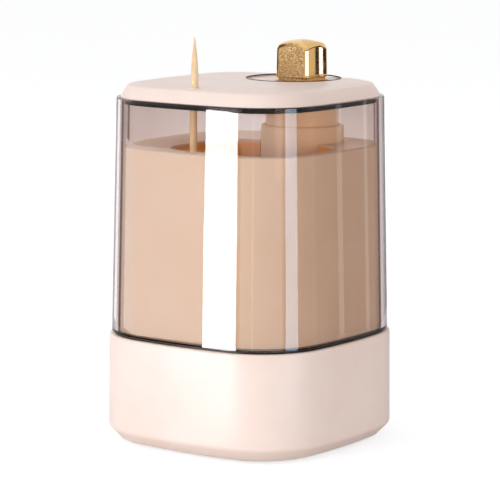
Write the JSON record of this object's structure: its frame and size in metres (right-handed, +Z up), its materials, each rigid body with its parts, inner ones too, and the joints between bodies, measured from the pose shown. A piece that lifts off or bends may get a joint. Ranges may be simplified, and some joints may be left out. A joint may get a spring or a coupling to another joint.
{
  "type": "toothpick dispenser",
  "caption": "Rounded square press-button toothpick dispenser: pressing the knob lets a lever drop the lifter, and release raises one pick through the lid.",
  "frame": {"origin": "middle of the four feet, on the surface that the dispenser stands on", "axes": "+Z up along the body, -Y towards the front where the toothpick rises, +X to the button's side"},
  "size_m": [0.075, 0.075, 0.1222],
  "materials": {
    "cream_shell": "satin",
    "cream_inner": "matte",
    "clear_plastic": "polished",
    "tan_plastic": "satin",
    "grey_plastic": "matte",
    "black_rubber": "satin",
    "gold_metal": "polished",
    "steel": "brushed",
    "pick_wood": "fine sanded"
  },
  "bodies": {
    "base": {"base_shell": "cream_shell", "base_plate": "cream_inner", "base_screws": "steel", "feet": "black_rubber", "lever_bracket": "steel", "bracket_screws": "steel", "pivot_pin": "steel", "pivot_clip": "steel", "lever_spring": "steel", "sleeve_gasket": "black_rubber", "clear_sleeve": "clear_plastic", "floor_plate": "tan_plastic", "bin_shell": "tan_plastic", "shell_screws": "steel", "bin_ramp": "tan_plastic", "lifter_guide": "tan_plastic", "rod_housing": "tan_plastic", "housing_screws": "steel"},
    "lid": {"lid_shell": "cream_shell", "lid_seal": "black_rubber", "button_bezel": "cream_shell", "outlet_bush": "cream_shell", "guide_tube": "tan_plastic", "guide_screws": "steel", "button_spring": "steel"},
    "button": {"button_cap": "gold_metal", "button_stem": "steel", "stem_clip": "steel"},
    "lever": {"lever": "grey_plastic"},
    "lifter": {"lifter": "grey_plastic", "lifter_pin": "steel"},
    "pick": {"toothpick": "pick_wood"}
  },
  "joints": [
    {"name": "lid_lift", "type": "slide", "parent": "base", "child": "lid", "axis": [0, 0, 1], "range_m": [0, 0.08]},
    {"name": "button_press", "type": "slide", "parent": "lid", "child": "button", "axis": [0, 0, -1], "range_m": [0, 0.00452], "stiffness_N_per_m": 350, "springref_m": -0.004, "deforming": ["button_spring", "lever_spring"]},
    {"name": "lever_swing", "type": "hinge", "parent": "base", "child": "lever", "pos_m": [0.007, 0.028, 0.0169], "axis": [1, 0, 0], "range_deg": [0, 22.25]},
    {"name": "lifter_drop", "type": "slide", "parent": "base", "child": "lifter", "axis": [0, 0, -1], "range_m": [0, 0.02202]},
    {"name": "pick_draw", "type": "slide", "parent": "lifter", "child": "pick", "axis": [0, 0, 1], "range_m": [0, 0.065]}
  ],
  "couplings": [
    {"joint": "lever_swing", "follows": "button_press", "rad_per_m": 85.86},
    {"joint": "lifter_drop", "follows": "button_press", "ratio": 4.8694}
  ]
}
